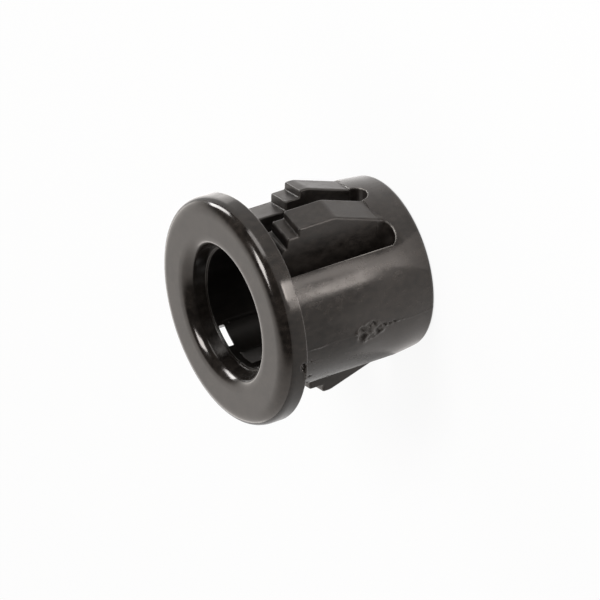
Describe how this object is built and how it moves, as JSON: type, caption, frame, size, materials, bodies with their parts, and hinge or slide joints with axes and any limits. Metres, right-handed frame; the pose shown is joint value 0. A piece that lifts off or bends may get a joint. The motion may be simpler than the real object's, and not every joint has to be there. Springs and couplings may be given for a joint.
{
  "type": "snap bushing",
  "caption": "Round flanged bushing with a flared bore and stepped snap fingers, pushed into a panel hole to guard a cable from its edge.",
  "frame": {"origin": "on the axis, in the plane of the flange's back face, which seats on the panel", "axes": "+Z along the axis out of the flange's front, with the barrel towards -Z; +Y and -Y out of the finger windows"},
  "size_m": [0.012, 0.012, 0.0099],
  "materials": {
    "nylon": "satin moulded nylon, black"
  },
  "bodies": {
    "root": {"snap_bushing": "nylon"}
  },
  "joints": []
}
